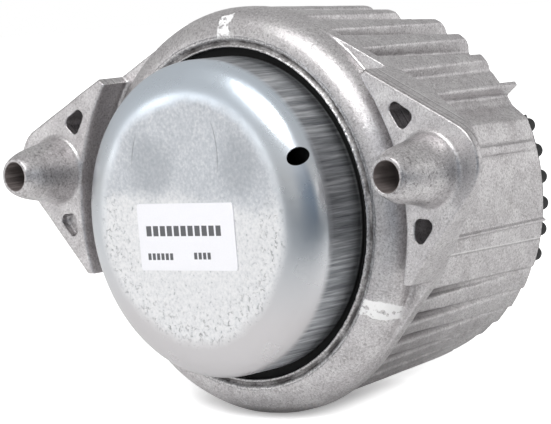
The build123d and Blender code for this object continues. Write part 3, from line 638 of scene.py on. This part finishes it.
def zincPlatedCap():
    # drawn steel, zinc plated and clear passivated: a matt, spangled face, a polished shoulder with a
    # painted bluish reflection high on it, and a duller wall with streaks along the draw
    material, add = newMaterial("zincPlatedDrawnSteel")
    marks = capMarks
    place = add("TexCoord", out="Object")
    x, y, z = add("SeparateXYZ", [place]).node.outputs
    flat = add("CombineXYZ", {0: x, 2: z})
    radius = add("VectorMath", [flat], out="Value", operation="LENGTH")
    drawn = add("VectorMath", [place, (1, 0.04, 1)], operation="MULTIPLY")
    cloud, spangle, handling, streak = (
        add("TexNoise", {"Vector": drawn if name == "streak" else place, **settings})
        for name, settings in capPatterns.items())
    wander = add("Math", [cloud, marks["edgeWander"], -marks["edgeWander"] / 2], operation="MULTIPLY_ADD")
    edge = add("Math", [radius, wander], operation="ADD")
    face = add("MapRange", [edge, *marks["faceEdge"]])
    # the lower part of the face, which was in contact with the rack in the bath, is coarser, and paler as a
    # painted reflection of the bright table below; the upper part is darker, a painted reflection of the
    # greyer room
    level = add("Math", [cloud, marks["stepWander"], -marks["stepWander"] / 2], operation="MULTIPLY_ADD")
    level = add("Math", [z, level], operation="ADD")
    lower = add("MapRange", [level, *marks["toneStep"]], interpolation_type="SMOOTHSTEP")
    base = add("Mix", {0: cloud, 6: "#cfd4d9", 7: "#e3e6e9"}, out=2, data_type="RGBA")
    # painted reflection: the shoulder is lighter and bluer towards its top and neutral towards its bottom
    for limits, colour in marks["shoulderReflectionTints"]:
        share = add("MapRange", [z, *limits])
        base = add("Mix", {0: share, 6: base, 7: colour}, out=2, data_type="RGBA")
    # cloudy spots dull the upper part of the face, and handling marks gather along its lower rim
    upperTone = add("ValToRGB", {"Fac": spangle}, stops=marks["upperTones"])
    for spot in marks["cloudySpots"]:
        share = add("VectorMath", [flat, spot], out="Value", operation="DISTANCE")
        share = add("Math", [share, wander], operation="ADD")
        share = add("MapRange", [share, *marks["spotReach"]], interpolation_type="SMOOTHSTEP")
        upperTone = add("Mix", {0: share, 6: upperTone, 7: "#959aa0"}, out=2, data_type="RGBA")
    lowerTone = add("ValToRGB", {"Fac": spangle}, stops=marks["lowerTones"])
    share = add("MapRange", [handling, *marks["handling"]])
    share = add("Math", [share, add("MapRange", [edge, *marks["handlingReach"]])], operation="MULTIPLY")
    lowerTone = add("Mix", {0: share, 6: lowerTone, 7: "#8d8e90"}, out=2, data_type="RGBA")
    faceTone = add("Mix", {0: lower, 6: upperTone, 7: lowerTone}, out=2, data_type="RGBA")
    wall = add("MapRange", [y, *marks["wall"]])
    wallTone = add("ValToRGB", {"Fac": streak}, stops=marks["wallTones"])
    # near-black grime and painted shade in the deep gap where the wall meets the flange; it hides the metal
    grimeAndShade = add("MapRange", [y, *marks["grimeAndShade"]])
    for share, colour in ((face, faceTone), (wall, wallTone), (grimeAndShade, "#0c0c0c")):
        base = add("Mix", {0: share, 6: base, 7: colour}, out=2, data_type="RGBA")
    for scratch in capScratches:
        offset = add("VectorMath", [flat, scratch["centre"]], operation="SUBTRACT")
        away = add("VectorMath", [offset], out="Value", operation="LENGTH")
        away = add("Math", [away, scratch["radius"]], operation="SUBTRACT")
        line = add("MapRange", [add("Math", [away], operation="ABSOLUTE"), *marks["scratchWidth"]])
        low = add("MapRange", [z, scratch["low"], scratch["low"] + marks["scratchFade"]])
        high = add("MapRange", [z, scratch["high"], scratch["high"] - marks["scratchFade"]])
        side = add("Math", [add("SeparateXYZ", [offset]), scratch["side"]], operation="MULTIPLY")
        side = add("Math", [side, 0], operation="GREATER_THAN")
        for area in (low, high, side, face):
            line = add("Math", [line, area], operation="MULTIPLY")
        base = add("Mix", {0: line, 6: base, 7: "#7d8084"}, out=2, data_type="RGBA")
    # the face is matt, the wall and the grime and painted shade rougher still
    roughness = add("MapRange", [face, 0, 1, 0.29, 0.40])
    for share, *limits in ((wall, 0, 1, 0, 0.22), (grimeAndShade, 0, 1, 0, 0.3), (cloud, 0.3, 0.7, 0.04, -0.04)):
        roughness = add("Math", [roughness, add("MapRange", [share, *limits])], operation="ADD")
    coarse = add("Math", [spangle, add("MapRange", [lower, 0, 1, 0.45, 1.0])], operation="MULTIPLY")
    coarse = add("Math", [coarse, face], operation="MULTIPLY")
    streaked = add("Math", [streak, wall], operation="MULTIPLY")
    normal = add("Bump", {"Height": cloud, "Distance": 0.12 * mm})
    for height, distance in ((coarse, 0.06 * mm), (streaked, 0.04 * mm)):
        normal = add("Bump", {"Height": height, "Distance": distance, "Normal": normal})
    add("OutputMaterial", {"Surface": add("BsdfPrincipled", {
        "Base Color": base, "Metallic": add("MapRange", [grimeAndShade, 0.3, 0.9, 1, 0]), "Roughness": roughness,
        "Normal": normal})})
    return material


# Sticker, in mm: two rows of plain blocks, with the pitch of the blocks and the share of it left bare
stickerPrint = {
    "turn": 1.2,
    "rows": [
        {"left": -18.0, "right": 11.6, "middle": -2.35, "half": 1.45, "pitch": 2.7, "gap": 0.25},
        {"left": -17.9, "right": -7.6, "middle": -9.6, "half": 0.95, "pitch": 1.72, "gap": 0.3},
        {"left": 0.1, "right": 7.0, "middle": -9.4, "half": 0.95, "pitch": 1.72, "gap": 0.3},
    ],
}


def paperSticker():
    # coated white paper label: smooth, a little blue, with a soft tooth 0.4 mm wide
    material, add = newMaterial("coatedPaperSticker")
    place = add("TexCoord", out="Object")
    turned = add("VectorRotate", {"Vector": place, "Angle": radians(stickerPrint["turn"])},
                 rotation_type="Y_AXIS")
    u, _, v = add("SeparateXYZ", [turned]).node.outputs
    tooth = add("TexNoise", {"Vector": place, "Scale": 2500, "Detail": 3})
    base = add("Mix", {0: tooth, 6: "#efeff4", 7: "#f7f7fb"}, out=2, data_type="RGBA")
    for row in stickerPrint["rows"]:
        centre = (row["left"] + row["right"]) / 2
        along = add("Math", [add("Math", [u, -centre * mm], operation="ADD")], operation="ABSOLUTE")
        along = add("Math", [along, (row["right"] - row["left"]) / 2 * mm], operation="LESS_THAN")
        level = add("Math", [add("Math", [v, -row["middle"] * mm], operation="ADD")], operation="ABSOLUTE")
        level = add("Math", [level, row["half"] * mm], operation="LESS_THAN")
        steps = add("Math", [u, 1 / (row["pitch"] * mm), -row["left"] / row["pitch"]],
                    operation="MULTIPLY_ADD")
        block = add("Math", [add("Math", [steps], operation="FRACT"), row["gap"]], operation="GREATER_THAN")
        ink = add("Math", [add("Math", [along, level], operation="MULTIPLY"), block], operation="MULTIPLY")
        base = add("Mix", {0: ink, 6: base, 7: "#5d5e61"}, out=2, data_type="RGBA")
    normal = add("Bump", {"Height": tooth, "Distance": 0.01 * mm})
    add("OutputMaterial", {"Surface": add("BsdfPrincipled", {
        "Base Color": base, "Roughness": 0.5, "Normal": normal})})
    return material


def mouldedRubber():
    # natural rubber as moulded: near black, with a dusty bloom in 8 mm patches and a fine orange-peel
    # surface of 0.45 mm
    material, add = newMaterial("mouldedNaturalRubber")
    place = add("TexCoord", out="Object")
    bloom = add("TexNoise", {"Vector": place, "Scale": 120, "Detail": 5, "Roughness": 0.65})
    peel = add("TexNoise", {"Vector": place, "Scale": 2200, "Detail": 2})
    base = add("ValToRGB", {"Fac": bloom}, stops=[(0.35, "#171718"), (0.6, "#232325"), (0.8, "#3a3a3c")])
    normal = add("Bump", {"Height": peel, "Distance": 0.03 * mm})
    normal = add("Bump", {"Height": bloom, "Distance": 0.10 * mm, "Normal": normal})
    add("OutputMaterial", {"Surface": add("BsdfPrincipled", {
        "Base Color": base, "Roughness": add("MapRange", [bloom, 0.3, 0.7, 0.48, 0.68]), "Normal": normal})})
    return material


def turnedMetal(name, dark, light, roughness, grooveDepth):
    # metal faced on a lathe: fine rings about the axis, 0.3 mm apart, with slow changes of tone across them
    material, add = newMaterial(name)
    place = add("TexCoord", out="Object")
    x, y, z = add("SeparateXYZ", [place]).node.outputs
    radius = add("VectorMath", [add("CombineXYZ", {0: x, 2: z})], out="Value", operation="LENGTH")
    path = add("Math", [radius, y], operation="ADD")
    ring = add("TexNoise", {"W": path, "Scale": 3200, "Detail": 3}, noise_dimensions="1D")
    cloud = add("TexNoise", {"Vector": place, "Scale": 150, "Detail": 4, "Roughness": 0.6})
    tone = add("Math", [add("Math", [ring, cloud], operation="ADD"), 0.5], operation="MULTIPLY")
    base = add("Mix", {0: tone, 6: dark, 7: light}, out=2, data_type="RGBA")
    edge = add("Bevel", {"Radius": 0.3 * mm}, samples=4)
    normal = add("Bump", {"Height": ring, "Distance": grooveDepth, "Normal": edge})
    add("OutputMaterial", {"Surface": add("BsdfPrincipled", {
        "Base Color": base, "Metallic": 1.0, "Normal": normal,
        "Roughness": add("MapRange", [cloud, 0.3, 0.7, roughness + 0.06, roughness - 0.05])})})
    return material


castFinish = dieCastAluminium()
lipFinish = peenedLip()
rubberFinish = mouldedRubber()
trackFinish = turnedMetal("machinedTrackAluminium", "#a4a5a6", "#c4c5c6", 0.42, 0.015 * mm)
steelFinish = turnedMetal("oiledSteel", "#7b7b7c", "#9b9a99", 0.36, 0.012 * mm)
finishes = {
    "housing": castFinish,
    "cap": zincPlatedCap(),
    "label": paperSticker(),
    "clamp_ring": steelFinish,
    "diaphragm": rubberFinish,
    "track_body": trackFinish,
    "decoupler": rubberFinish,
    "track_cover": trackFinish,
    "track_rivets": steelFinish,
    "outer_sleeve": steelFinish,
    "spring_rubber": rubberFinish,
    "core": turnedMetal("turnedAluminium", "#b4b5b7", "#d3d4d5", 0.33, 0.02 * mm),
    "thread_insert": turnedMetal("zincPlatedTurnedSteel", "#a9adb2", "#c6cad0", 0.3, 0.01 * mm),
    "locating_pin": steelFinish,
    "stop_pad_right": rubberFinish,
    "stop_pad_left": rubberFinish,
}
for name, node in nodes.items():
    node.data.materials.clear()
    node.data.materials.append(finishes[name])
for piece, finish in ((castingPiece, castFinish), (lipPiece, lipFinish)):
    piece.data.materials.clear()
    piece.data.materials.append(finish)
print("stage: materials")
